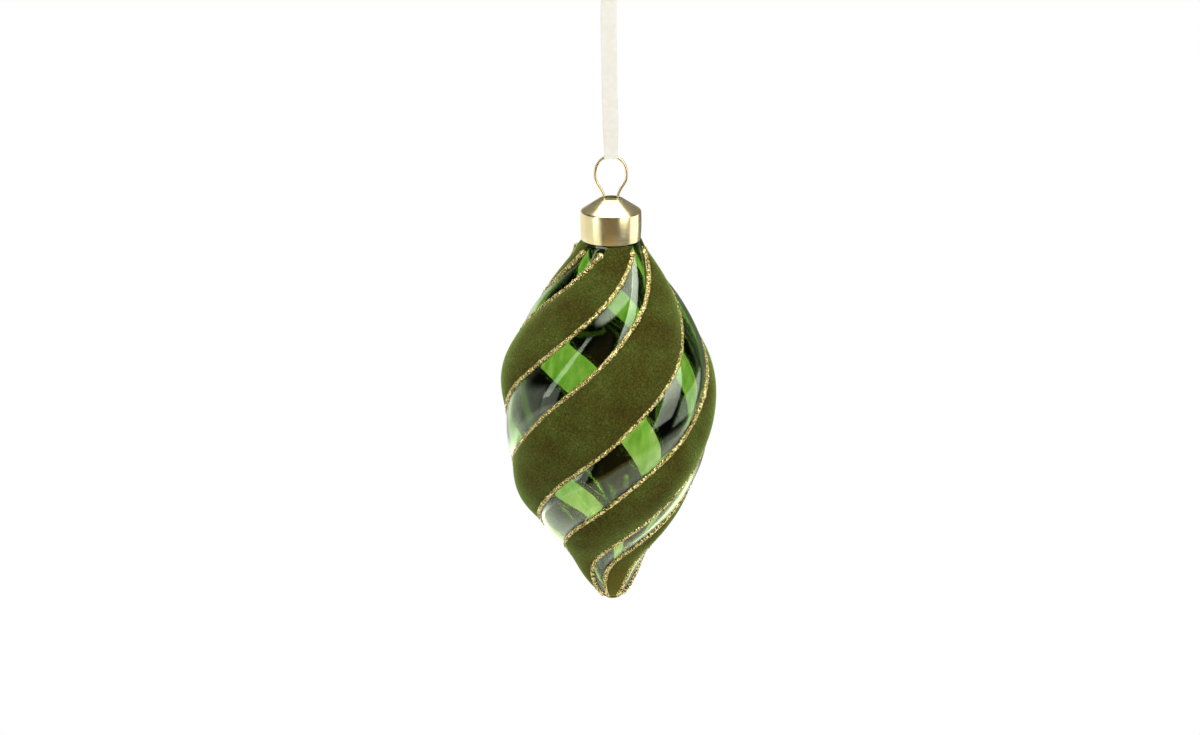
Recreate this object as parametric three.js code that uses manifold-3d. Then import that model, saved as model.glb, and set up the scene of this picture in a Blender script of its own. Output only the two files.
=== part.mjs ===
// Blown glass tree ornament: a long twisted glass body with alternate flocked lobes, glitter lines
// in the valleys between the lobes, a metal cap with a spring wire hanger, and a ribbon loop.
// Millimetres, +Z up. The origin is the inside top of the ribbon loop, where the ornament hangs.
import * as THREE from 'three';
import { mergeVertices } from 'three/addons/utils/BufferGeometryUtils.js';
import Module from 'manifold-3d';

// Clearance left between pieces that touch on the real ornament
const seatGap = 0.3;

// Glass body
const bodyHeight = 123.9;
const bellyDiameter = 71.1;
const glassWall = 1.1;
const lobeDepth = 2.1;
const neckDiameter = 15;
const neckLength = 8.5;
const neckFillet = 1;

// The valleys between the lobes fade out towards the shoulder, where this share of their depth is
// left, and towards the tip
const shoulderFade = 16;
const depthAtShoulder = 0.19;
const tipFade = 24;
const tipFadePower = 0.8;

// Outline of the lobe crests: share of the body height above the tip, share of the belly radius
const outline = [
  [0, 0],
  [0.009, 0.098],
  [0.05, 0.223],
  [0.124, 0.365],
  [0.204, 0.588],
  [0.285, 0.774],
  [0.366, 0.894],
  [0.448, 0.961],
  [0.529, 0.997],
  [0.607, 1],
  [0.672, 0.96],
  [0.737, 0.872],
  [0.801, 0.75],
  [0.866, 0.605],
  [0.93, 0.437],
  [0.97, 0.338],
];

// Turn of the lobes about the axis in degrees, against the share of the body height above the tip
const lobeTurn = [
  [0, 0],
  [0.1, 19],
  [0.2, 61.5],
  [0.3, 96],
  [0.4, 121],
  [0.5, 146.5],
  [0.6, 168.5],
  [0.7, 192.5],
  [0.8, 218],
  [0.9, 251],
  [1, 291],
];

// The ornament is made by hand, so its centre line is not quite straight: share of the body height
// above the tip, distance to the right as a share of its largest bow
const centreBow = 2;
const centreLine = [
  [0, 0.35],
  [0.1, -0.25],
  [0.2, -0.75],
  [0.3, -1],
  [0.4, -0.625],
  [0.5, -0.3],
  [0.65, -0.325],
  [0.8, -0.375],
  [1, 0],
];

// Angles that the lobes take up round the body, in degrees: a clear lobe, then a flocked one, and
// so on. They change evenly from the tip up to the share of the body height from which they stay.
const firstLobeAngle = 24;
const tipLobeAngles = [31, 59.5, 36.5, 60.5, 32, 65.5, 28, 47];
const bodyLobeAngles = [36.5, 57.5, 40, 54, 45.5, 49, 32.5, 45];
const settledFrom = 0.4;

// A lobe of this angle rises to the outline of the crests. Narrower ones stay lower.
const fullLobeAngle = 52;
const widestSwell = 1.1;
const swellPower = 1.6;

// Flocking and glitter lines
const flockThickness = 0.5;
const lineWidth = 1.3;
const lineHeight = 0.75;
const lineTopBelowCap = 2;
const lineEndRadius = 3.6;
const flockButtonRadius = 2.5;
const tipMargin = 0.1;

// Section of a glitter line: share of half its width, share of its height
const lineSection = [
  [-0.35, 0],
  [-1, 0.45],
  [0, 1],
  [1, 0.45],
  [0.35, 0],
];

// Cap
const capDiameter = 20;
const skirtHeight = 9.5;
const coneHeight = 4.5;
const flatTopDiameter = 7.6;
const capWall = 0.5;
const shoulderRound = 0.7;

// Wire hanger
const wireDiameter = 0.9;
const ringWidth = 9.9;
const ringHeight = 13.3;
const ringArch = 6.1;
const legSpacing = 4.6;
const straightLeg = 6;
const legLength = 24;
const ringFootShare = 0.86;
const ringFootSpread = 0.75;
const legTipLength = 2;
const legTipTurn = 0.2;

// Ribbon
const ribbonWidth = 5.1;
const ribbonThickness = 0.3;
const loopLength = 64;
const knotWidth = 6.4;
const knotDepth = 4.6;
const knotHeight = 4.2;
const knotCut = 0.4;
const tailLength = 9;
const tailWidth = 4.1;
const tailThickness = 0.6;
const tailSpread = 24;
const tailLean = 12;

// Route of the ribbon's middle line: from the knot down the front, under the ring's top wire, which
// it clears all round, and up the back to the knot
const ribbonRoute = [
  [0, -0.85, 0],
  [-0.2, -1.05, -3.2],
  [-0.75, -1.65, -16],
  [-0.6, -2.1, -30],
  [-0.3, -2.15, -46],
  [0, -1.95, -60],
  [0, -1.86, -64],
  [0, -1.77, -64.58],
  [0, -1.51, -65.09],
  [0, -1.09, -65.51],
  [0, -0.58, -65.77],
  [0, 0, -65.86],
  [0, 0.58, -65.77],
  [0, 1.09, -65.51],
  [0, 1.51, -65.09],
  [0, 1.77, -64.58],
  [0, 1.86, -64],
  [0, 1.95, -60],
  [-0.3, 2.15, -46],
  [-0.6, 2.1, -30],
  [-0.75, 1.65, -16],
  [-0.2, 1.05, -3.2],
  [0, 0.85, 0],
];

// Numbers of steps in the meshes
const stepsPerLobe = 6;
const bodyRows = 28;
const innerRows = 12;
const capSides = 48;
const wireSides = 8;
const wireSteps = 64;
const tipSides = 16;
const ribbonSteps = 44;

const degree = Math.PI / 180;
const bellyRadius = bellyDiameter / 2;
const slopeStep = bodyHeight / 120;
const searchStep = 0.05;
const capRadius = capDiameter / 2;
const neckRadius = neckDiameter / 2;
const boreRadius = neckRadius - glassWall;

// Heights, from the hanging point down
const ringTopZ = -loopLength;
const capTopZ = ringTopZ - ringHeight;
const capRimZ = capTopZ - coneHeight - skirtHeight;
const shoulderZ = capRimZ - seatGap;
const tipZ = shoulderZ - bodyHeight;

// A smooth curve y(x) through points in rising x, with level ends where the points are level
function smoothThrough(points) {
  const slopes = points.map((point, i) => {
    const before = points[Math.max(i - 1, 0)];
    const after = points[Math.min(i + 1, points.length - 1)];
    return (after[1] - before[1]) / (after[0] - before[0]);
  });
  return (x) => {
    let i = 0;
    while (i < points.length - 2 && x > points[i + 1][0]) i += 1;
    const [x0, y0] = points[i];
    const [x1, y1] = points[i + 1];
    const width = x1 - x0;
    const t = THREE.MathUtils.clamp((x - x0) / width, 0, 1);
    const rise = t * t * (3 - 2 * t);
    const startPart = t * (1 - t) * (1 - t) * slopes[i] * width;
    const endPart = t * t * (t - 1) * slopes[i + 1] * width;
    return y0 + (y1 - y0) * rise + startPart + endPart;
  };
}

// The crest outline ends on the shoulder, which is as wide as the cap that rests on it
const crestCurve = smoothThrough([...outline, [1, capRadius / bellyRadius]]);
const turnCurve = smoothThrough(lobeTurn);
const centreCurve = smoothThrough(centreLine);
const tipRound = outline[1];

// Radius of the lobe crests at a height above the tip; the tip itself is a round cap
function crestRadius(height) {
  const share = height / bodyHeight;
  if (share < tipRound[0]) {
    return bellyRadius * tipRound[1] * Math.sqrt(share / tipRound[0]);
  }
  return bellyRadius * crestCurve(share);
}

function valleyDepth(height) {
  const nearShoulder = Math.min(depthAtShoulder + (bodyHeight - height) / shoulderFade, 1);
  const nearTip = Math.min(height / tipFade, 1) ** tipFadePower;
  return lobeDepth * nearShoulder * nearTip;
}

const lobeCount = bodyLobeAngles.length;
const isFlocked = (lobe) => lobe % 2 === 1;

// Angle that a lobe takes up at a height
function lobeWidth(lobe, height) {
  const above = Math.min(height / (settledFrom * bodyHeight), 1);
  const settled = 1 - (1 - above) ** 2;
  return tipLobeAngles[lobe] * (1 - settled) + bodyLobeAngles[lobe] * settled;
}

// Each lobe is an arch between two valleys, and the wider it is the higher it swells
function lobeRise(lobe, height) {
  const swell = Math.min(lobeWidth(lobe, height) / fullLobeAngle, widestSwell) ** swellPower;
  return valleyDepth(height) * swell;
}

// Surface of the finished ornament: share runs from 0 to 1 across the lobe
function finishedRadius(lobe, share, height) {
  const arch = 1 - (2 * share - 1) ** 2;
  return crestRadius(height) - valleyDepth(height) + lobeRise(lobe, height) * arch;
}

// The bare glass lies lower under the flocking, by the flock and the gap to it
const flockLayer = seatGap + flockThickness;

function glassRadius(lobe, share, height) {
  const arch = 1 - (2 * share - 1) ** 2;
  const underFlock = isFlocked(lobe) ? flockLayer * arch : 0;
  const recess = underFlock * Math.min(1, lobeRise(lobe, height) / flockLayer);
  return finishedRadius(lobe, share, height) - recess;
}

function lobeAngle(lobe, share, height) {
  let start = firstLobeAngle;
  for (let before = 0; before < lobe; before += 1) start += lobeWidth(before, height);
  const along = turnCurve(height / bodyHeight);
  return (start + lobeWidth(lobe, height) * share + along) * degree;
}

// The front of the ornament is -Y, and angles grow towards +X
function onBody(angle, radius, height) {
  const x = centreBow * centreCurve(height / bodyHeight) + radius * Math.sin(angle);
  return new THREE.Vector3(x, -radius * Math.cos(angle), tipZ + height);
}

function bodyHeights(count, low, high) {
  return Array.from({ length: count + 1 }, (_, i) => low + (high - low) * (i / count));
}

function geometryFrom(vertices, faces) {
  const geometry = new THREE.BufferGeometry();
  const positions = vertices.flatMap((vertex) => [vertex.x, vertex.y, vertex.z]);
  geometry.setAttribute('position', new THREE.Float32BufferAttribute(positions, 3));
  geometry.setIndex(faces);
  return geometry;
}

// Triangles that close a level ring of points
function levelEnd(ring, start, facesUp) {
  const flat = ring.map((point) => new THREE.Vector2(point.x, point.y));
  return THREE.ShapeUtils.triangulateShape(flat, []).flatMap(([a, b, c]) => {
    const facesDown = THREE.ShapeUtils.isClockWise([flat[a], flat[b], flat[c]]);
    return facesDown === facesUp ? [start + a, start + c, start + b] : [start + a, start + b, start + c];
  });
}

// A closed body through rings of points, each listed anticlockwise as seen from its far end.
// A ring of one point is a pole. Other ends are closed level, facing down or up as ends says.
function throughRings(rings, ends = []) {
  const vertices = [];
  const faces = [];
  const starts = rings.map((ring) => {
    const start = vertices.length;
    vertices.push(...ring);
    return start;
  });
  for (let i = 0; i < rings.length - 1; i += 1) {
    const lower = rings[i].length;
    const upper = rings[i + 1].length;
    const count = Math.max(lower, upper);
    for (let j = 0; j < count; j += 1) {
      const next = (j + 1) % count;
      const a = starts[i] + (lower === 1 ? 0 : j);
      const b = starts[i] + (lower === 1 ? 0 : next);
      const c = starts[i + 1] + (upper === 1 ? 0 : next);
      const d = starts[i + 1] + (upper === 1 ? 0 : j);
      if (lower > 1) faces.push(a, b, c);
      if (upper > 1) faces.push(a, c, d);
    }
  }
  ends.forEach((facing, i) => {
    const at = i === 0 ? 0 : rings.length - 1;
    faces.push(...levelEnd(rings[at], starts[at], facing === 'up'));
  });
  return geometryFrom(vertices, faces);
}

function mesh(name, geometry, color, roughness, metalness) {
  const material = new THREE.MeshStandardMaterial({ color, roughness, metalness });
  const part = new THREE.Mesh(geometry, material);
  part.name = name;
  return part;
}

const wasm = await Module();
wasm.setup();

function toSolid(geometry) {
  const bare = geometry.clone();
  bare.deleteAttribute('normal');
  bare.deleteAttribute('uv');
  const merged = mergeVertices(bare, 1e-4);
  const solidMesh = new wasm.Mesh({
    numProp: 3,
    vertProperties: new Float32Array(merged.attributes.position.array),
    triVerts: new Uint32Array(merged.index.array),
  });
  return new wasm.Manifold(solidMesh);
}

function fromSolid(solid) {
  const result = solid.getMesh();
  const geometry = new THREE.BufferGeometry();
  geometry.setAttribute('position', new THREE.BufferAttribute(result.vertProperties, 3));
  geometry.setIndex(new THREE.BufferAttribute(result.triVerts, 1));
  return geometry;
}

// Glass: one blown shell, open at the neck. The rings run from the tip up the outside, over the
// lip of the neck and down the inside.
function glassBulb() {
  const lobeRing = (height, radiusAt) => {
    const ring = [];
    for (let lobe = 0; lobe < lobeCount; lobe += 1) {
      for (let step = 0; step < stepsPerLobe; step += 1) {
        const share = step / stepsPerLobe;
        ring.push(onBody(lobeAngle(lobe, share, height), radiusAt(lobe, share), height));
      }
    }
    return ring;
  };
  const roundRing = (radius, height) => {
    const turnHeight = Math.min(height, bodyHeight);
    return lobeRing(turnHeight, () => radius).map((point) => point.setZ(tipZ + height));
  };

  const tipRoundHeight = tipRound[0] * bodyHeight;
  const tipRows = [tipRoundHeight / 4, tipRoundHeight / 2];
  const outside = [...tipRows, ...bodyHeights(bodyRows, tipRoundHeight, bodyHeight)];
  const rings = [[onBody(0, 0, 0)]];
  for (const height of outside) {
    rings.push(lobeRing(height, (lobe, share) => glassRadius(lobe, share, height)));
  }

  const lip = bodyHeight + neckLength;
  const lipRound = glassWall / 3;
  rings.push(
    roundRing(neckRadius + neckFillet, bodyHeight),
    roundRing(neckRadius + neckFillet / 3, bodyHeight + neckFillet / 3),
    roundRing(neckRadius, bodyHeight + neckFillet),
    roundRing(neckRadius, lip - lipRound),
    roundRing(neckRadius - lipRound, lip),
    roundRing(boreRadius + lipRound, lip),
    roundRing(boreRadius, lip - lipRound),
    roundRing(boreRadius, bodyHeight),
  );

  const innerTip = glassWall * 3;
  const inside = bodyHeights(innerRows, innerTip, bodyHeight).slice(1, -1);
  for (const height of inside.reverse()) {
    const rise = crestRadius(height + slopeStep) - crestRadius(height - slopeStep);
    const wallAcross = glassWall * Math.hypot(1, rise / (2 * slopeStep));
    rings.push(roundRing(crestRadius(height) - valleyDepth(height) - wallAcross, height));
  }
  rings.push([onBody(0, 0, innerTip)]);
  return throughRings(rings);
}

// Share of a lobe's width that a distance square to its edge takes up at a height. The edge is at
// share 0 or 1 of the lobe.
function edgeShare(lobe, edge, distance, height) {
  const radius = finishedRadius(lobe, 0, height);
  const turn = lobeAngle(lobe, edge, height + slopeStep) - lobeAngle(lobe, edge, height - slopeStep);
  const across = distance * Math.hypot(1, radius * (turn / (2 * slopeStep)));
  return across / (radius * lobeWidth(lobe, height) * degree);
}

// Height above the tip at which the lobe crests reach a radius
function heightAtRadius(radius) {
  let height = 0;
  while (crestRadius(height) < radius) height += searchStep;
  return height;
}

// Flocking: a thin layer over a lobe, from its glitter line on one side to that on the other.
// Rows below the lines' ends reach nearly across the lobe.
function flockBand(lobe, rowsBelowLines = []) {
  const bottom = heightAtRadius(lineEndRadius);
  const top = bodyHeight - seatGap;
  const edge = lineWidth / 2 + seatGap;
  const rings = [...rowsBelowLines, ...bodyHeights(bodyRows, bottom, top)].map((height) => {
    const margins = [0, 1].map((side) => (
      height < bottom ? tipMargin : edgeShare(lobe, side, edge, height)
    ));
    const covered = 1 - margins[0] - margins[1];
    const outer = [];
    const inner = [];
    for (let step = 0; step <= stepsPerLobe; step += 1) {
      const share = margins[0] + covered * (step / stepsPerLobe);
      const under = glassRadius(lobe, share, height) + seatGap;
      const angle = lobeAngle(lobe, share, height);
      outer.push([angle, under + flockThickness]);
      inner.unshift([angle, under]);
    }
    return [...outer, ...inner].map(([angle, radius]) => onBody(angle, radius, height));
  });
  return throughRings(rings, ['down', 'up']);
}

// The last band also covers the very tip, with a round button of flock joined to its end. The
// button curls up at its rim, where it meets the band.
function tipFlockBand(lobe) {
  const joinRadius = (flockButtonRadius + lineEndRadius) / 2;
  const rows = [heightAtRadius(flockButtonRadius * 0.8), heightAtRadius(joinRadius)];
  const layer = (offset) => [0, 0.4, 0.75, 1].map((share) => {
    const radius = flockButtonRadius * share;
    const outward = share ** 4;
    const height = heightAtRadius(radius) - offset * (1 - outward);
    return new THREE.Vector2(radius + offset * outward, height);
  });
  const profile = [...layer(seatGap + flockThickness), ...layer(seatGap).reverse()];
  const button = new THREE.LatheGeometry(profile, tipSides);
  button.rotateX(Math.PI / 2);
  const corners = button.getAttribute('position');
  for (let i = 0; i < corners.count; i += 1) {
    const height = corners.getZ(i);
    const x = corners.getX(i) + centreBow * centreCurve(height / bodyHeight);
    corners.setXYZ(i, x, corners.getY(i), tipZ + height);
  }
  return fromSolid(toSolid(flockBand(lobe, rows)).add(toSolid(button)));
}

// Glitter line: a raised bead of glued glitter along a valley
function glitterLine(lobe) {
  const bottom = heightAtRadius(lineEndRadius);
  const top = bodyHeight - lineTopBelowCap;
  const rings = bodyHeights(bodyRows, bottom, top).map((height) => {
    const valley = finishedRadius(lobe, 0, height);
    const half = edgeShare(lobe, 0, lineWidth / 2, height) * lobeWidth(lobe, height) * degree;
    const middle = lobeAngle(lobe, 0, height);
    const section = lineSection.map(([across, up]) => (
      [middle + half * across, valley + seatGap + lineHeight * up]
    ));
    return section.map(([angle, radius]) => onBody(angle, radius, height));
  });
  return throughRings(rings, ['down', 'up']);
}

// Cap: a pressed metal shell with a straight skirt, a cone, and a slot in its flat top
function cap() {
  const flatTopRadius = flatTopDiameter / 2;
  const coneFoot = capTopZ - coneHeight;
  const at = (radius, z) => new THREE.Vector2(radius, z);
  const roundRise = shoulderRound * (coneHeight / (capRadius - flatTopRadius));
  const shoulder = new THREE.QuadraticBezierCurve(
    at(capRadius, coneFoot - shoulderRound),
    at(capRadius, coneFoot),
    at(capRadius - shoulderRound, coneFoot + roundRise),
  );
  const outer = [
    at(capRadius, capRimZ),
    ...shoulder.getPoints(3),
    at(flatTopRadius, capTopZ),
    at(0, capTopZ),
  ];
  const inner = [
    at(0, capTopZ - capWall),
    at(flatTopRadius - capWall / 2, capTopZ - capWall),
    at(capRadius - capWall - shoulderRound, coneFoot + roundRise - capWall),
    at(capRadius - capWall, coneFoot - shoulderRound - capWall / 2),
    at(capRadius - capWall, capRimZ),
  ];
  const shell = new THREE.LatheGeometry([...inner, ...outer], capSides);
  shell.rotateX(Math.PI / 2);
  const slotLength = legSpacing + wireDiameter + 2 * seatGap;
  const slotWidth = wireDiameter + 2 * seatGap;
  const slot = new THREE.BoxGeometry(slotLength, slotWidth, 4 * capWall);
  slot.translate(0, 0, capTopZ);
  return fromSolid(toSolid(shell).subtract(toSolid(slot)));
}

// Hanger: one spring wire, an oval ring above the cap and two legs that splay inside the neck
function wireHanger() {
  const halfRing = ringWidth / 2;
  const halfLegs = legSpacing / 2;
  const legTip = boreRadius - seatGap - wireDiameter / 2;
  const oval = (share) => {
    const turn = share * Math.PI;
    return [halfRing * Math.sin(turn), -ringArch * (1 - Math.cos(turn))];
  };
  const side = [
    oval(0.14),
    oval(0.3),
    oval(0.47),
    oval(0.64),
    [halfLegs + ringFootSpread, -ringFootShare * ringHeight],
    [halfLegs, -ringHeight],
    [halfLegs, -ringHeight - straightLeg / 2],
    [halfLegs, -ringHeight - straightLeg],
    [(halfLegs + legTip) / 2, -ringHeight - (straightLeg + legLength) / 2],
    [legTip, -ringHeight - legLength + legTipLength],
    [legTip - legTipTurn, -ringHeight - legLength],
  ];
  const right = side.map(([x, z]) => new THREE.Vector3(x, 0, ringTopZ + z));
  const left = side.map(([x, z]) => new THREE.Vector3(-x, 0, ringTopZ + z)).reverse();
  const path = new THREE.CatmullRomCurve3([...left, new THREE.Vector3(0, 0, ringTopZ), ...right]);
  const section = new THREE.Shape();
  section.absarc(0, 0, wireDiameter / 2, 0, 2 * Math.PI);
  return new THREE.ExtrudeGeometry(section, {
    extrudePath: path,
    steps: wireSteps,
    curveSegments: wireSides,
    bevelEnabled: false,
  });
}

// Ribbon: a flat band that passes under the ring's top wire, with both ends in the knot. Its steps
// follow the points of the route, which stand close together in the fold.
function ribbonLoop() {
  const path = new THREE.CatmullRomCurve3(ribbonRoute.map((point) => new THREE.Vector3(...point)));
  const rings = [];
  for (let i = 0; i <= ribbonSteps; i += 1) {
    const centre = path.getPoint(i / ribbonSteps);
    const tangent = path.getTangent(i / ribbonSteps);
    const outward = new THREE.Vector3(0, tangent.z, -tangent.y).setLength(ribbonThickness / 2);
    const across = new THREE.Vector3(ribbonWidth / 2, 0, 0);
    rings.push([
      centre.clone().sub(across).add(outward),
      centre.clone().sub(across).sub(outward),
      centre.clone().add(across).sub(outward),
      centre.clone().add(across).add(outward),
    ]);
  }
  return throughRings(rings, ['up', 'up']);
}

// Knot: the two ends tied together above the hanging point, with two short tails
function ribbonKnot() {
  const lump = new THREE.SphereGeometry(0.5, 16, 12);
  lump.rotateX(Math.PI / 2);
  lump.scale(knotWidth, knotDepth, knotHeight);
  const flatUnder = new THREE.BoxGeometry(knotWidth * 2, knotDepth * 2, knotHeight);
  flatUnder.translate(0, 0, -knotHeight * (knotCut + 0.5));
  let knot = toSolid(lump).subtract(toSolid(flatUnder));
  for (const side of [-1, 1]) {
    const tail = new THREE.BoxGeometry(tailWidth, tailThickness, tailLength);
    tail.translate(0, 0, tailLength / 2);
    tail.rotateX(side * tailSpread * degree);
    tail.rotateY(side * tailLean * degree);
    knot = knot.add(toSolid(tail));
  }
  const geometry = fromSolid(knot);
  geometry.translate(0, 0, seatGap + knotHeight * knotCut);
  return geometry;
}

const ornament = new THREE.Group();
ornament.add(mesh('glass_bulb', glassBulb(), 0x6f9f3a, 0.08, 0));
let band = 0;
for (let lobe = 0; lobe < lobeCount; lobe += 1) {
  if (isFlocked(lobe)) {
    band += 1;
    const flock = lobe === lobeCount - 1 ? tipFlockBand(lobe) : flockBand(lobe);
    ornament.add(mesh(`flock_band_${band}`, flock, 0x4a5520, 0.95, 0));
  }
  ornament.add(mesh(`glitter_line_${lobe + 1}`, glitterLine(lobe), 0xc9a55a, 0.35, 0.8));
}
ornament.add(mesh('cap', cap(), 0xd8c78a, 0.3, 1));
ornament.add(mesh('wire_hanger', wireHanger(), 0xb0895a, 0.3, 1));
ornament.add(mesh('ribbon_loop', ribbonLoop(), 0xf0eedd, 0.6, 0));
ornament.add(mesh('ribbon_knot', ribbonKnot(), 0xf0eedd, 0.6, 0));

export default ornament;
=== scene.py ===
import math
import random

import bmesh
import bpy
from mathutils import Matrix, Vector, noise


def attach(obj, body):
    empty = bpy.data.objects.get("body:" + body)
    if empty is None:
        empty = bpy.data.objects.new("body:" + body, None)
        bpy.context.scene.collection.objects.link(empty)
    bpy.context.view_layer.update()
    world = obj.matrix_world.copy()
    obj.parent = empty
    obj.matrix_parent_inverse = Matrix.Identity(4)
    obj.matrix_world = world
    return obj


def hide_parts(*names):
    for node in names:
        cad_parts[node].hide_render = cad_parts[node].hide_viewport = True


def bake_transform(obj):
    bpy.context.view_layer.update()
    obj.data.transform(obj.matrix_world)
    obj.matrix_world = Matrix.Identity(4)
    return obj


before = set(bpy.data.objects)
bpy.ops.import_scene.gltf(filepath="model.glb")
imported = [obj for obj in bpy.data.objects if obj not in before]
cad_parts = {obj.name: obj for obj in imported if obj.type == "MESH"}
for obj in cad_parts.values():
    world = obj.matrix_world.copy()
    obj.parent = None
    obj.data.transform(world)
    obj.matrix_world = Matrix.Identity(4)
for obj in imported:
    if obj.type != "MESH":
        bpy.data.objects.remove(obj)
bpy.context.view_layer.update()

# Glass body. One mouth-blown drop of clear green glass, blown into a ribbed mould and twisted while
# it was soft, so that its eight uneven lobes wind down to the tip. The neck on top is left open,
# and the green is painted paler towards the tip, as painted light where the lamps shine through.
tip_z = -0.2155
body_height = 0.1239
belly_radius = 0.03555
shoulder_radius = 0.010
neck_radius = 0.0075
neck_length = 0.0085
wall = 0.0011
lobe_depth = 0.0021
outline = [
    (0, 0), (0.009, 0.098), (0.05, 0.223), (0.124, 0.365), (0.204, 0.588), (0.285, 0.774),
    (0.366, 0.894), (0.448, 0.961), (0.529, 0.997), (0.607, 1), (0.672, 0.96), (0.737, 0.872),
    (0.801, 0.75), (0.866, 0.605), (0.93, 0.437), (0.97, 0.338), (1, shoulder_radius / belly_radius),
]
lobe_turn = [
    (0, 0), (0.1, 19), (0.2, 61.5), (0.3, 96), (0.4, 121), (0.5, 146.5),
    (0.6, 168.5), (0.7, 192.5), (0.8, 218), (0.9, 251), (1, 291),
]
centre_line = [
    (0, 0.0007), (0.1, -0.0005), (0.2, -0.0015), (0.3, -0.002), (0.4, -0.00125),
    (0.5, -0.0006), (0.65, -0.00065), (0.8, -0.00075), (1, 0),
]
first_lobe_angle = 24
tip_lobe_angles = [31, 59.5, 36.5, 60.5, 32, 65.5, 28, 47]
body_lobe_angles = [36.5, 57.5, 40, 54, 45.5, 49, 32.5, 45]
settled_from = 0.4
flocked_lobes = [1, 3, 5, 7]
flock_thickness = 0.0005


def smooth_through(points):
    """A function whose curve runs smoothly through points in rising order."""
    slopes = []
    for i in range(len(points)):
        before, after = points[max(i - 1, 0)], points[min(i + 1, len(points) - 1)]
        slopes.append((after[1] - before[1]) / (after[0] - before[0]))

    def curve(x):
        i = 0
        while i < len(points) - 2 and x > points[i + 1][0]:
            i += 1
        (x0, y0), (x1, y1) = points[i], points[i + 1]
        t = min(max((x - x0) / (x1 - x0), 0), 1)
        swing = t * (1 - t) ** 2 * slopes[i] - t * t * (1 - t) * slopes[i + 1]
        return y0 + (y1 - y0) * t * t * (3 - 2 * t) + swing * (x1 - x0)

    return curve


crest_curve = smooth_through(outline)
turn_curve = smooth_through(lobe_turn)
centre_curve = smooth_through(centre_line)


def crest_radius(height):
    share = height / body_height
    tip_share, tip_radius = outline[1]
    if share < tip_share:
        return belly_radius * tip_radius * math.sqrt(share / tip_share)
    return belly_radius * crest_curve(share)


def valley_depth(height):
    near_shoulder = min(0.19 + (body_height - height) / 0.016, 1)
    return lobe_depth * near_shoulder * min(height / 0.024, 1) ** 0.8


def lobe_width(lobe, height):
    """Angle that a lobe takes up at a height."""
    above = min(height / (settled_from * body_height), 1)
    settled = 1 - (1 - above) ** 2
    return tip_lobe_angles[lobe] * (1 - settled) + body_lobe_angles[lobe] * settled


def lobe_rise(lobe, height):
    return valley_depth(height) * min(lobe_width(lobe, height) / 52, 1.1) ** 1.6


def finished_radius(lobe, share, height):
    arch = 1 - (2 * share - 1) ** 2
    return crest_radius(height) - valley_depth(height) + lobe_rise(lobe, height) * arch


def glass_radius(lobe, share, height):
    """The glass lies lower under the flock, by the thickness of the flock."""
    radius = finished_radius(lobe, share, height)
    if lobe in flocked_lobes:
        arch = 1 - (2 * share - 1) ** 2
        radius -= arch * min(flock_thickness, lobe_rise(lobe, height))
    return radius


def lobe_angle(lobe, share, height):
    start = first_lobe_angle + sum(lobe_width(before, height) for before in range(lobe))
    turn = turn_curve(height / body_height)
    return math.radians(start + lobe_width(lobe, height) * share + turn)


def on_body(lobe, share, height, radius):
    """A point on the twisted body: share is how far across the lobe it is."""
    angle = lobe_angle(lobe, share, height)
    x = centre_curve(height / body_height) + radius * math.sin(angle)
    return Vector((x, -radius * math.cos(angle), tip_z + height))


def bent_grid(shape, columns, rows, place):
    """A grid of quads, each corner moved to place(across, along), both from 0 to 1."""
    grid = bmesh.ops.create_grid(shape, x_segments=columns, y_segments=rows, size=0.5)
    for vert in grid["verts"]:
        vert.co = place(vert.co.x + 0.5, vert.co.y + 0.5)
    bmesh.ops.remove_doubles(shape, verts=grid["verts"], dist=1e-6)


def add_piece(name, shape, finish, sharp_angle=180):
    """Turns a finished bmesh into an object, smooth but for edges sharper than sharp_angle."""
    bmesh.ops.recalc_face_normals(shape, faces=shape.faces)
    mesh = bpy.data.meshes.new(name)
    shape.to_mesh(mesh)
    shape.free()
    mesh.shade_smooth()
    mesh.set_sharp_from_angle(angle=math.radians(sharp_angle))
    mesh.materials.append(finish)
    piece = bpy.data.objects.new(name, mesh)
    bpy.context.scene.collection.objects.link(piece)
    return piece


def apply_modifiers(piece):
    finished = piece.evaluated_get(bpy.context.evaluated_depsgraph_get())
    mesh = bpy.data.meshes.new_from_object(finished)
    piece.modifiers.clear()
    piece.data = mesh


def stands_for(piece, body, slot, *nodes):
    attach(piece, body)
    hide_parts(*nodes)


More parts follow.
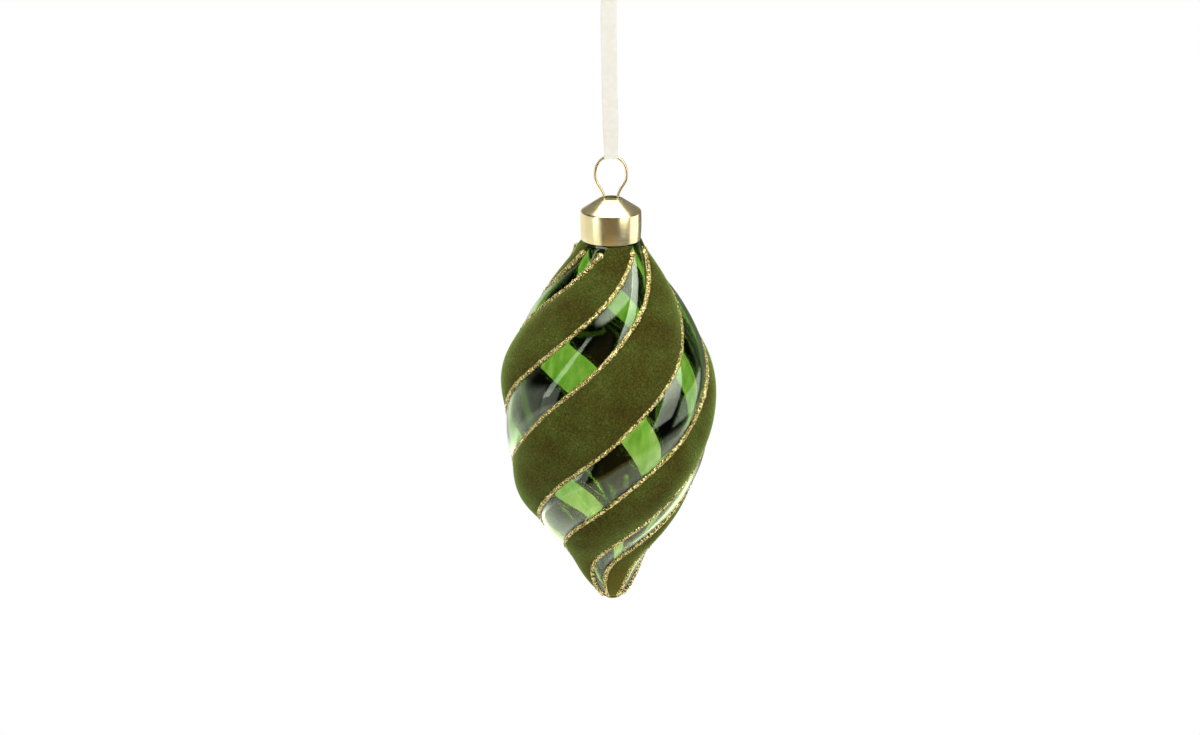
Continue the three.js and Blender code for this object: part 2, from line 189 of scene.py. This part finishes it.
class Wire:
    """An output socket in a material. Sums of wires add their own Math nodes."""

    def __init__(self, tree, socket=None):
        self.tree = tree
        self.socket = socket

    def node(self, kind, settings, inputs, output=0):
        """Adds a node, with its settings and its inputs, and returns one of its outputs."""
        made = self.tree.nodes.new(kind)
        for name, value in settings.items():
            if name == "stops":
                ramp = made.color_ramp.elements
                while len(ramp) < len(value):
                    ramp.new(0.5)
                for stop, (place, colour) in zip(ramp, value):
                    stop.position, stop.color = place, (*colour, 1)
            else:
                setattr(made, name, value)
        for name, value in inputs.items():
            if isinstance(value, Wire):
                self.tree.links.new(value.socket, made.inputs[name])
            else:
                made.inputs[name].default_value = value
        return Wire(self.tree, made.outputs[output] if made.outputs else None)

    def maths(self, operation, first, second):
        return self.node("ShaderNodeMath", {"operation": operation}, {0: first, 1: second})

    def __add__(self, other):
        return self.maths("ADD", self, other)

    def __radd__(self, other):
        return self.maths("ADD", other, self)

    def __sub__(self, other):
        return self.maths("SUBTRACT", self, other)

    def __rsub__(self, other):
        return self.maths("SUBTRACT", other, self)

    def __mul__(self, other):
        return self.maths("MULTIPLY", self, other)

    def __rmul__(self, other):
        return self.maths("MULTIPLY", other, self)

    def step(self, low, high):
        """0 below low, 1 above high, and smooth between them."""
        settings = {"interpolation_type": "SMOOTHSTEP"}
        inputs = {"Value": self, "From Min": low, "From Max": high}
        return self.node("ShaderNodeMapRange", settings, inputs)

    def colours(self, stops):
        return self.node("ShaderNodeValToRGB", {"stops": stops}, {"Fac": self})

    def covered(self, top, factor, blend_type="MIX"):
        """This colour with another laid over it. Sockets 6, 7 and 2 are the node's colour ones."""
        settings = {"data_type": "RGBA", "blend_type": blend_type}
        return self.node("ShaderNodeMix", settings, {0: factor, 6: self, 7: top}, 2)

    def axis(self, name):
        return self.node("ShaderNodeSeparateXYZ", {}, {"Vector": self}, name)

    def bump(self, depth, strength=1.0):
        inputs = {"Height": self, "Distance": depth, "Strength": strength}
        return self.node("ShaderNodeBump", {}, inputs)


def new_material(name):
    """A new material, and a wire from which its nodes are added."""
    material = bpy.data.materials.new(name)
    material.use_nodes = True
    material.node_tree.nodes.clear()
    return material, Wire(material.node_tree)


def place_of(wire):
    return wire.node("ShaderNodeTexCoord", {}, {}, "Object")


def noise_at(wire, place, size, detail=2.0, roughness=0.5):
    """Noise from 0 to 1 whose patches are about size metres across."""
    inputs = {"Vector": place, "Scale": 1 / size, "Detail": detail, "Roughness": roughness}
    return wire.node("ShaderNodeTexNoise", {}, inputs)


def surface(wire, inputs):
    """Ends a material in one Principled shader."""
    shader = wire.node("ShaderNodeBsdfPrincipled", {}, inputs)
    wire.node("ShaderNodeOutputMaterial", {}, {"Surface": shader})


green_glass, wire = new_material("green_glass")
place = place_of(wire)
stretched = wire.node("ShaderNodeMapping", {}, {"Vector": place, "Scale": (1, 1, 0.35)})
ripples = noise_at(wire, stretched, 0.009, 1.0)
# Faint random streaks in the green, plus painted light: the green is painted paler towards the tip,
# where the lamps shine through more.
streaks_and_painted_light = noise_at(wire, stretched, 0.004, 2.0) + 0.08 - 0.16 * place.axis("Z").step(-0.185, -0.13)
surface(wire, {
    "Base Color": streaks_and_painted_light.colours([
        (0.33, (0.30, 0.53, 0.11)),
        (0.5, (0.48, 0.69, 0.24)),
        (0.65, (0.60, 0.77, 0.35)),
    ]),
    "Roughness": 0.0,
    "IOR": 1.5,
    "Transmission Weight": 1.0,
    "Normal": ripples.bump(0.0001),
})

shape = bmesh.new()


def glass_place(across, along):
    lobe = min(int(across * 8 + 1e-6), 7)
    share = across * 8 - lobe
    height = body_height * along ** 1.5
    return on_body(lobe, share, height, glass_radius(lobe, share, height))


bent_grid(shape, columns=8 * 14, rows=150, place=glass_place)
rim = [edge for edge in shape.edges if edge.is_boundary]
neck_rings = [
    (neck_radius + 0.001, 0), (neck_radius + 0.0003, 0.0003), (neck_radius, 0.001),
    (neck_radius, 0.0015), (neck_radius, neck_length - 0.0004), (neck_radius, neck_length),
]
for radius, rise in neck_rings:
    grown = bmesh.ops.extrude_edge_only(shape, edges=rim)["geom"]
    rim = [part for part in grown if isinstance(part, bmesh.types.BMEdge)]
    for vert in [part for part in grown if isinstance(part, bmesh.types.BMVert)]:
        flat = Vector((vert.co.x, vert.co.y, 0)).normalized() * radius
        vert.co = flat + Vector((0, 0, tip_z + body_height + rise))
bmesh.ops.recalc_face_normals(shape, faces=shape.faces)
bmesh.ops.solidify(shape, geom=shape.faces[:], thickness=wall)
glass = add_piece("glass_body", shape, green_glass)
stands_for(glass, "bulb", "green_glass", "glass_bulb")

# Flock bands. Every second lobe is brushed with glue and flocked with short olive fibres, which
# stand up like velvet. Faint patches turn browner or greener, and the flock is yellower at the tip.
flock_edge = 0.00045
flock_rounding = 0.0006
flock_top = body_height - 0.0002
glue_thickness = 0.00002
button_radius = 0.0033
line_end_radius = 0.0036

olive_flock, wire = new_material("olive_flock")
place = place_of(wire)
patches = noise_at(wire, place, 0.012, 2.0)
fibres = noise_at(wire, place, 0.0006, 2.0, 0.7)
tone = (0.4 * patches + 0.8 * fibres - 0.1).colours([
    (0.3, (0.026, 0.026, 0.004)),
    (0.5, (0.059, 0.062, 0.010)),
    (0.68, (0.105, 0.112, 0.022)),
    (0.78, (0.24, 0.23, 0.07)),
])
lay = patches.colours([(0.36, (1.12, 0.95, 0.8)), (0.64, (0.94, 1.08, 0.9))])
near_tip = 0.6 - 0.6 * place.axis("Z").step(-0.213, -0.190)
surface(wire, {
    "Base Color": tone.covered(lay, 1.0, "MULTIPLY").covered((0.14, 0.115, 0.016, 1), near_tip),
    "Roughness": 0.95,
    "Specular IOR Level": 0.1,
    "Sheen Weight": 1.0,
    "Sheen Roughness": 0.28,
    "Sheen Tint": (0.49, 0.77, 0.17, 1),
    "Normal": fibres.bump(0.0003, 0.8),
})


def height_at_radius(radius):
    height = 0
    while crest_radius(height) < radius:
        height += 0.00005
    return height


def edge_share(lobe, edge, distance, height):
    """The share of a lobe's width that a distance square to its edge, 0 or 1, takes up."""
    radius = finished_radius(lobe, 0, height)
    turn = lobe_angle(lobe, edge, height + 0.001) - lobe_angle(lobe, edge, height - 0.001)
    across = distance * math.hypot(1, radius * turn / 0.002)
    return across / (radius * math.radians(lobe_width(lobe, height)))


line_foot = height_at_radius(line_end_radius)
dark_glue, wire = new_material("dark_glue")
surface(wire, {"Base Color": (0.010, 0.013, 0.004, 1), "Roughness": 0.6})

for number, lobe in enumerate(flocked_lobes, 1):
    shape = bmesh.new()

    def flock_place(across, along):
        height = line_foot + (flock_top - line_foot) * along
        start, end = (edge_share(lobe, edge, flock_edge, height) for edge in (0, 1))
        over = across < 0.5
        step = 2 * across if over else 2 - 2 * across
        step = 0.3 * step + 0.7 * (0.5 - 0.5 * math.cos(math.pi * step))
        share = start + (1 - start - end) * step
        from_edge = min((share - start) / start, (1 - end - share) / end) * flock_edge
        fullness = math.sqrt(max(1 - max(1 - from_edge / flock_rounding, 0) ** 2, 0))
        lift = glue_thickness + (flock_thickness * fullness if over else 0)
        return on_body(lobe, share, height, glass_radius(lobe, share, height) + lift)

    bent_grid(shape, columns=84, rows=240, place=flock_place)
    bmesh.ops.holes_fill(shape, edges=[edge for edge in shape.edges if edge.is_boundary], sides=0)
    if lobe == flocked_lobes[-1]:
        button = bmesh.ops.create_uvsphere(shape, u_segments=32, v_segments=16, radius=button_radius)
        for vert in button["verts"]:
            vert.co.z = tip_z + 0.0009 + vert.co.z * 0.45
            vert.co.x += centre_curve(0.005)
    for face in shape.faces:
        middle = face.calc_center_median()
        axis = Vector((centre_curve((middle.z - tip_z) / body_height), 0, middle.z))
        face.material_index = 1 if face.normal.dot(middle - axis) < 0 else 0
    flock = add_piece(f"flock_{number}", shape, olive_flock)
    flock.data.materials.append(dark_glue)
    stands_for(flock, "bulb", "olive_flock", f"flock_band_{number}")

# Glitter lines. A bead of clear glue is drawn along each valley, over both edges of the flock, and
# strewn with coarse gold glitter. Each line starts in a round blob just below the cap.
line_half_width = 0.00077
line_height = 0.0009
line_top = body_height - 0.002
line_top_z = tip_z + line_top
line_rounding = 0.0006
line_steps = 400
blob_centre = 0.0012
handful_length = 0.004
flakes_in_handful = 44
flake_thickness = 0.00005

gold_glitter, wire = new_material("gold_glitter")
place = place_of(wire)
flecks = noise_at(wire, place, 0.0005, 0.0)
surface(wire, {
    "Base Color": flecks.colours([
        (0.36, (0.09, 0.06, 0.008)),
        (0.45, (0.46, 0.35, 0.07)),
        (0.56, (0.72, 0.60, 0.18)),
        (0.66, (1.0, 0.93, 0.55)),
    ]),
    "Metallic": 0.75,
    "Roughness": 0.28,
    "Normal": noise_at(wire, place, 0.0006, 1.0).bump(0.0009, 1.0),
})

for lobe in range(8):
    track = []
    for i in range(line_steps + 1):
        height = line_foot + (line_top - line_foot) * i / line_steps
        track.append(on_body(lobe, 0, height, finished_radius(lobe, 0, height)))
    run = [0]
    for start, end in zip(track, track[1:]):
        run.append(run[-1] + (end - start).length)

    def line_frame(along):
        """Middle of the line and its directions: along it, sideways and outwards."""
        target = along * run[-1]
        passed = next((k for k, length in enumerate(run) if length > target), line_steps)
        i = min(max(passed - 1, 1), line_steps - 1)
        middle = track[i].lerp(track[i + 1], (target - run[i]) / (run[i + 1] - run[i]))
        forward = (track[i + 1] - track[i - 1]).normalized()
        side = forward.cross(Vector((middle.x, middle.y, 0))).normalized()
        return middle, forward, side, side.cross(forward)

    shape = bmesh.new()
    wobble = Vector((0, 0, 7.3 * lobe))

    def line_place(across, along):
        middle, forward, side, out = line_frame(along)
        to_end = min(along, 1 - along) * run[-1]
        from_top = (1 - along) * run[-1]
        swell = 1 + 0.16 * noise.noise(middle * 500 + wobble)
        blob = max(1 - abs(from_top - blob_centre) / blob_centre, 0)
        swell += 0.25 * max(1 - from_top / 0.03, 0) + 0.45 * blob
        size = swell * math.sqrt(max(1 - max(1 - to_end / line_rounding, 0) ** 2, 0))
        turn = 2 * math.pi * across
        bulge = line_height * max(math.sin(turn), -0.3)
        return middle + side * (line_half_width * size * math.cos(turn)) + out * (bulge * size)

    bent_grid(shape, columns=14, rows=300, place=line_place)
    chance = random.Random(40 + lobe)
    for _ in range(int(run[-1] / handful_length)):
        handful = bmesh.new()
        for _ in range(flakes_in_handful):
            middle, forward, side, out = line_frame(chance.uniform(0.002, 0.999))
            turn = math.pi * chance.uniform(-0.08, 1.08)
            reach = chance.uniform(0.88, 1.14)
            reach *= 1 + 0.25 * max(1 - (line_top_z - middle.z) / 0.025, 0)
            spot = middle + side * (line_half_width * reach * math.cos(turn))
            spot += out * (line_height * reach * max(math.sin(turn), 0.1))
            facing = side * (math.cos(turn) / line_half_width) + out * (math.sin(turn) / line_height)
            tilt = Vector([chance.gauss(0, 0.6) for _ in range(3)])
            turned = (facing.normalized() + tilt).to_track_quat("Z", "X").to_matrix().to_4x4()
            flake = chance.uniform(0.00014, 0.00026)
            spun = Matrix.Rotation(chance.uniform(0, 6), 4, "Z")
            bmesh.ops.create_cone(
                handful, cap_ends=True, segments=5, radius1=flake, radius2=flake,
                depth=flake_thickness, matrix=Matrix.Translation(spot) @ turned @ spun,
            )
        flakes = bpy.data.meshes.new("flakes")
        handful.to_mesh(flakes)
        handful.free()
        shape.from_mesh(flakes)
        bpy.data.meshes.remove(flakes)
    line = add_piece(f"glitter_{lobe + 1}", shape, gold_glitter, 30)
    stands_for(line, "bulb", "gold_glitter", f"glitter_line_{lobe + 1}")

# Cap. Thin brass sheet, pressed in one stroke to a skirt, a cone and a flat top with a slot, then
# plated in pale satin gold. The skirt is open below and rests on the shoulder of the glass.
cap_radius = 0.010
cap_rim_z = -0.0913
cone_foot_z = -0.0818
cap_top_z = -0.0773
flat_top_radius = 0.0038
flat_top_z = cap_top_z - 0.00045
cap_sheet = 0.0005
slot_length = 0.0061
slot_width = 0.0023

gold_cap, wire = new_material("gold_cap")
place = place_of(wire)
around = wire.node("ShaderNodeMapping", {}, {"Vector": place, "Scale": (1, 1, 40)})
brushing = noise_at(wire, around, 0.006, 3.0, 0.6)
smudges = noise_at(wire, place, 0.005, 2.0)
surface(wire, {
    "Base Color": smudges.colours([(0.3, (0.82, 0.70, 0.36)), (0.7, (0.88, 0.77, 0.43))]),
    "Metallic": 0.92,
    "Roughness": 0.17 + 0.1 * smudges,
    "Normal": brushing.bump(0.00004, 0.5),
})

shape = bmesh.new()
outside = [
    (cap_radius - 0.0003, cap_rim_z),
    (cap_radius - 0.00018, cap_rim_z + 0.0012),
    (cap_radius - 0.00008, cap_rim_z + 0.0026),
    (cap_radius, cap_rim_z + 0.0050),
    (cap_radius - 0.00003, cap_rim_z + 0.0072),
    (cap_radius - 0.0001, cone_foot_z),
    (flat_top_radius, flat_top_z),
    (flat_top_radius - 0.001, cap_top_z - 0.00018),
    (flat_top_radius - 0.002, cap_top_z - 0.00004),
    (0, cap_top_z),
]
corners = [shape.verts.new((radius, 0, z)) for radius, z in outside]
edges = [shape.edges.new(pair) for pair in zip(corners, corners[1:])]
bmesh.ops.spin(
    shape, geom=corners + edges, cent=(0, 0, 0), axis=(0, 0, 1), angle=2 * math.pi, steps=128,
    use_merge=True,
)
bmesh.ops.remove_doubles(shape, verts=shape.verts, dist=1e-7)
for z, offset in ((cone_foot_z, 0.00045), (flat_top_z, 0.0004)):
    ring = [
        edge for edge in shape.edges
        if all(abs(vert.co.z - z) < 1e-6 and vert.co.xy.length > 0.001 for vert in edge.verts)
    ]
    bmesh.ops.bevel(
        shape, geom=ring, offset=offset, segments=4, profile=0.5, affect="EDGES", material=-1,
    )
bmesh.ops.recalc_face_normals(shape, faces=shape.faces)
bmesh.ops.solidify(shape, geom=shape.faces[:], thickness=cap_sheet)
cap = add_piece("metal_cap", shape, gold_cap, 50)

shape = bmesh.new()
slot_size = Matrix.Diagonal((slot_length, slot_width, 0.002, 1))
bmesh.ops.create_cube(shape, size=1, matrix=Matrix.Translation((0, 0, cap_top_z)) @ slot_size)
upright = [edge for edge in shape.edges if abs(edge.verts[0].co.z - edge.verts[1].co.z) > 0.001]
bmesh.ops.bevel(
    shape, geom=upright, offset=0.001, segments=5, profile=0.5, affect="EDGES", material=-1,
)
slot_cutter = add_piece("slot_cutter", shape, gold_cap)
cut = cap.modifiers.new("slot", "BOOLEAN")
cut.object = slot_cutter
cut.solver = "EXACT"
apply_modifiers(cap)
cap.data.set_sharp_from_angle(angle=math.radians(50))
bpy.data.objects.remove(slot_cutter)
stands_for(cap, "metal_cap", "gold_cap", "cap")

# Wire hanger. One spring wire, plated in pale gold, bent to an oval ring whose two ends pass through
# the slot of the cap and spread inside the neck of the glass to hold it.
wire_radius = 0.00045
ring_top_z = -0.0637
ring_half_width = 0.00515
ring_half_height = 0.0061

gold_wire, wire = new_material("gold_wire")
place = place_of(wire)
wear = noise_at(wire, place, 0.006, 2.0, 0.5)
surface(wire, {
    "Base Color": wear.colours([
        (0.3, (0.66, 0.50, 0.26)),
        (0.6, (0.80, 0.66, 0.38)),
        (0.8, (0.86, 0.75, 0.50)),
    ]),
    "Metallic": 1.0,
    "Roughness": 0.24 + 0.1 * wear,
})


def smooth_path(points):
    """A function from 0 to 1 along a smooth path through the points, and the path's length."""
    runs = [0]
    for start, end in zip(points, points[1:]):
        runs.append(runs[-1] + (Vector(end) - Vector(start)).length)
    curves = []
    for axis in range(3):
        curves.append(smooth_through([(run, point[axis]) for run, point in zip(runs, points)]))
    return lambda along: Vector([curve(along * runs[-1]) for curve in curves]), runs[-1]


ring_side = []
for share in (0, 0.07, 0.14, 0.22, 0.3, 0.385, 0.47, 0.555, 0.64):
    drop = ring_half_height * (1 - math.cos(share * math.pi))
    ring_side.append((ring_half_width * math.sin(share * math.pi), 0, ring_top_z - drop))
ring_side += [
    (0.00305, 0, ring_top_z - 0.01144),
    (0.0023, 0, ring_top_z - 0.0133),
    (0.0023, 0, ring_top_z - 0.0163),
    (0.0023, 0, ring_top_z - 0.0193),
    (0.00398, 0, ring_top_z - 0.0283),
    (0.00565, 0, ring_top_z - 0.0353),
    (0.00545, 0, ring_top_z - 0.0373),
]
bend = [(-x, y, z) for x, y, z in reversed(ring_side[1:])] + ring_side
wire_path, wire_run = smooth_path(bend)
shape = bmesh.new()


def wire_place(across, along):
    middle = wire_path(along)
    forward = (wire_path(min(along + 0.002, 1)) - wire_path(max(along - 0.002, 0))).normalized()
    side = forward.cross(Vector((0, 1, 0))).normalized()
    to_end = min(along, 1 - along) * wire_run
    size = wire_radius * math.sqrt(max(1 - max(1 - to_end / wire_radius, 0) ** 2, 0))
    turn = 2 * math.pi * across
    return middle + side * (size * math.cos(turn)) + Vector((0, size * math.sin(turn), 0))


bent_grid(shape, columns=16, rows=320, place=wire_place)
hanger = add_piece("spring_hanger", shape, gold_wire)
stands_for(hanger, "hanger", "gold_wire", "wire_hanger")

# Ribbon. A length of cream satin ribbon passes under the top of the ring, which pulls its fold into
# an arch. Its two halves rise side by side to the knot that closes the loop.
ribbon_width = 0.0051
ribbon_sheet = 0.00022
route = [
    (0, -0.00085, 0), (-0.0002, -0.00105, -0.0032), (-0.00075, -0.00165, -0.016),
    (-0.0006, -0.0021, -0.030), (-0.0003, -0.00215, -0.046), (0, -0.00195, -0.060),
    (0, -0.00186, -0.064), (0, -0.00177, -0.06458), (0, -0.00151, -0.06509),
    (0, -0.00109, -0.06551), (0, -0.00058, -0.06577), (0, 0, -0.06586),
    (0, 0.00058, -0.06577), (0, 0.00109, -0.06551), (0, 0.00151, -0.06509),
    (0, 0.00177, -0.06458), (0, 0.00186, -0.064), (0, 0.00195, -0.060),
    (-0.0003, 0.00215, -0.046), (-0.0006, 0.0021, -0.030), (-0.00075, 0.00165, -0.016),
    (-0.0002, 0.00105, -0.0032), (0, 0.00085, 0),
]

cream_ribbon, wire = new_material("cream_ribbon")
place = place_of(wire)
threads = {"Vector": place, "Scale": 640.0, "Distortion": 0.4}
weft = wire.node("ShaderNodeTexWave", {"bands_direction": "Z"}, threads)
slubs = noise_at(wire, place, 0.0016, 2.0)
surface(wire, {
    "Base Color": slubs.colours([(0.3, (0.90, 0.87, 0.74)), (0.7, (0.94, 0.92, 0.83))]),
    "Roughness": 0.42 + 0.16 * slubs,
    "Sheen Weight": 0.25,
    "Sheen Roughness": 0.4,
    "Normal": (weft + 0.5 * slubs).bump(0.00003, 0.5),
})

ribbon_path, ribbon_run = smooth_path(route)
shape = bmesh.new()


def ribbon_place(across, along):
    """The ribbon hugs the wire: near the fold it draws in, narrows and follows the ring's arch."""
    middle = ribbon_path(along)
    hug = min(max((-0.052 - middle.z) / 0.012, 0), 1)
    hug = hug * hug * (3 - 2 * hug)
    over = max(ring_top_z - middle.z, 0)
    y = middle.y * (1 - 0.58 * hug)
    z = middle.z + 0.58 * over + 0.0002 * hug
    x = (across - 0.5) * ribbon_width * (1 - 0.15 * hug)
    arch = ring_half_height * (1 - math.sqrt(1 - (x / ring_half_width) ** 2))
    return Vector((middle.x + x, y, z - arch * hug))


bent_grid(shape, columns=12, rows=240, place=ribbon_place)
ribbon = add_piece("ribbon", shape, cream_ribbon)
thickness = ribbon.modifiers.new("thickness", "SOLIDIFY")
thickness.thickness = ribbon_sheet
thickness.offset = 0
apply_modifiers(ribbon)
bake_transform(ribbon)
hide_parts("ribbon_loop")

# Knot. Both ends are tied together in one overhand knot, with two short tails cut on the slant.
knot_z = 0.0022
wrap_width = 0.0026
wrap_depth = 0.0018
wrap_spread = 0.00155
tail_length = 0.008
tail_half_width = 0.0021
tail_half_thickness = 0.00014
shape = bmesh.new()
for tilt, size in ((-32, 1.0), (28, 0.96), (88, 0.9)):
    def wrap_place(across, along):
        turn = 2 * math.pi * along
        side = 2 * math.pi * across
        spread = wrap_spread * math.cos(side)
        radius = 1 + 0.16 * math.sin(side) - 0.1 * math.cos(side) ** 2
        swept = Vector((
            wrap_width * radius * math.cos(turn),
            wrap_depth * radius * math.sin(turn),
            spread * (1 + 0.2 * math.cos(turn)),
        ))
        return Matrix.Rotation(math.radians(tilt), 3, "Y") @ (swept * size) + Vector((0, 0, knot_z))

    bent_grid(shape, columns=16, rows=48, place=wrap_place)
for side in (-1, 1):
    def tail_place(across, along):
        around = 2 * math.pi * across
        wide = tail_half_width * math.cos(around) * (0.55 + 0.45 * min(along * 3, 1))
        thick = tail_half_thickness * math.sin(around)
        rise = tail_length * along + 0.12 * wide * side
        lean = side * (0.0008 + 0.0026 * along ** 1.3)
        curl = 0.0006 * math.sin(along * 5 + side)
        return Vector((wide + side * 0.0009 * along + curl, lean + thick, knot_z + rise))

    bent_grid(shape, columns=20, rows=24, place=tail_place)
bmesh.ops.holes_fill(shape, edges=[edge for edge in shape.edges if edge.is_boundary], sides=0)
knot = add_piece("ribbon_tie", shape, cream_ribbon, 60)
stands_for(knot, "ribbon", "cream_ribbon", "ribbon_knot")

# Studio. The ornament hangs in front of a white backdrop, over a pale round table, between two tall
# softboxes and under a wide one. The dim room, its walls and the lights show in the reflections.
scene = bpy.context.scene
scene.view_settings.view_transform = "Standard"
camera = bpy.data.objects.new("camera", bpy.data.cameras.new("camera"))
camera.data.lens = 100
camera.data.sensor_width = 36
camera.data.clip_start = 0.01
camera.data.clip_end = 50
camera.location = (-0.00353, -1.0519, 0.1863)
camera.rotation_euler = (math.radians(73), 0, 0)
scene.collection.objects.link(camera)
scene.camera = camera

world = bpy.data.worlds.new("studio")
world.use_nodes = True
world.node_tree.nodes.clear()
world.cycles.sampling_method = "NONE"
scene.world = world
wire = Wire(world.node_tree)
direction = wire.node("ShaderNodeTexCoord", {}, {}, "Generated")
x, y, z = (direction.axis(name) for name in "XYZ")
turn = wire.maths("ARCTAN2", x, -1 * y)


def panel(turn_from, turn_to, rise_from, rise_to, edge=0.025, lean=0.0):
    """1 where a reflection looks at a panel, 0 elsewhere.

    turn is to the right of the camera and rise is above level, both in degrees. A leaning panel's
    upper end lies further to the right.
    """
    low, high = math.radians(turn_from), math.radians(turn_to)
    bottom, top = math.sin(math.radians(rise_from)), math.sin(math.radians(rise_to))
    leant = turn - lean * z
    across = leant.step(low - edge, low + edge) * (1 - leant.step(high - edge, high + edge))
    return across * z.step(bottom - edge, bottom + edge) * (1 - z.step(top - edge, top + edge))


ceiling = z.step(0.80, 0.86)
front_floor = 1 - z.step(-0.54, -0.44)
left_wall = panel(-200, -68, -90, 2, 0.12)
right_wall = panel(78, 124, -24, 1)
back = y.step(0.25, 0.5)
lower_back = back * (1 - z.step(-0.50, -0.34))
right_softbox = panel(36, 69, -11, 64, 0.025, 0.3)
left_softbox = panel(-68, -40, -36, -3)
left_tube = panel(-64, -52, -14, 48, 0.02, 0.23)
room = panel(-30, 26, -90, 40, 0.16)
gloss = 0.02 + 0.12 * room
for brightness, light in (
    (4.4, ceiling), (0.9, front_floor), (0.85, left_wall), (1.9, right_wall), (0.15, back),
    (1.2, lower_back), (2.8 + 6.0 * z.step(0.0, 0.8), right_softbox), (1.1, left_softbox),
    (3.4, left_tube),
):
    gloss = gloss + brightness * light
camera_ray, glossy, through, reflected = (
    wire.node("ShaderNodeLightPath", {}, {}, name)
    for name in ("Is Camera Ray", "Is Glossy Ray", "Is Transmission Ray", "Glossy Depth")
)
seen = wire.maths("MAXIMUM", camera_ray, through) * wire.maths("LESS_THAN", reflected, 0.5)
strength = seen + (1 - seen) * (glossy * gloss + (1 - glossy) * 0.8)
warmth = glossy * (1 - seen) * room
tone = warmth.colours([(0.0, (1.0, 1.0, 1.0)), (1.0, (1.0, 0.66, 0.30))])
background = wire.node("ShaderNodeBackground", {}, {"Color": tone, "Strength": strength})
wire.node("ShaderNodeOutputWorld", {}, {"Surface": background})

pale_table, wire = new_material("pale_table")
camera_ray, glossy, through = (
    wire.node("ShaderNodeLightPath", {}, {}, name)
    for name in ("Is Camera Ray", "Is Glossy Ray", "Is Transmission Ray")
)
shows = wire.maths("MAXIMUM", camera_ray, wire.maths("MAXIMUM", glossy, through))
along = place_of(wire).axis("Y")
# Painted glow: the table is no lamp, but it is painted to glow warm towards the front and brighter
# towards the back. The glow shows only to the camera, in reflections and through glass.
painted_glow_tint = along.step(-0.4, 0.2).colours([(0.0, (1.0, 0.9, 0.62)), (1.0, (1.0, 1.0, 1.0))])
surface(wire, {
    "Base Color": (0.6, 0.6, 0.6, 1),
    "Roughness": 0.9,
    "Specular IOR Level": 0.0,
    "Emission Color": painted_glow_tint,
    "Emission Strength": shows * (0.75 + 0.3 * along.step(-0.3, 0.3)),
})
shape = bmesh.new()
bmesh.ops.create_circle(
    shape, cap_ends=True, segments=96, radius=0.9, matrix=Matrix.Translation((0, 0, -0.75)),
)
table = add_piece("table", shape, pale_table)

body_centre_z = -0.14
lamps = [
    ("left_softbox", (-0.8, -0.45, -0.25), 0.16, 0.9, 1.1),
    ("right_softbox", (0.8, -0.40, -0.25), 0.45, 0.9, 2.4),
    ("top_softbox", (0, 0.03, 0.62), 1.0, 0.8, 3.4),
]
for name, location, width, height, power in lamps:
    lamp = bpy.data.lights.new(name, "AREA")
    lamp.shape = "RECTANGLE"
    lamp.size, lamp.size_y, lamp.energy = width, height, power
    holder = bpy.data.objects.new(name, lamp)
    holder.location = location
    away = Vector(location) - Vector((0, 0, body_centre_z))
    holder.rotation_euler = away.to_track_quat("Z", "Y").to_euler()
    holder.visible_camera = False
    holder.visible_transmission = False
    holder.visible_glossy = False
    scene.collection.objects.link(holder)
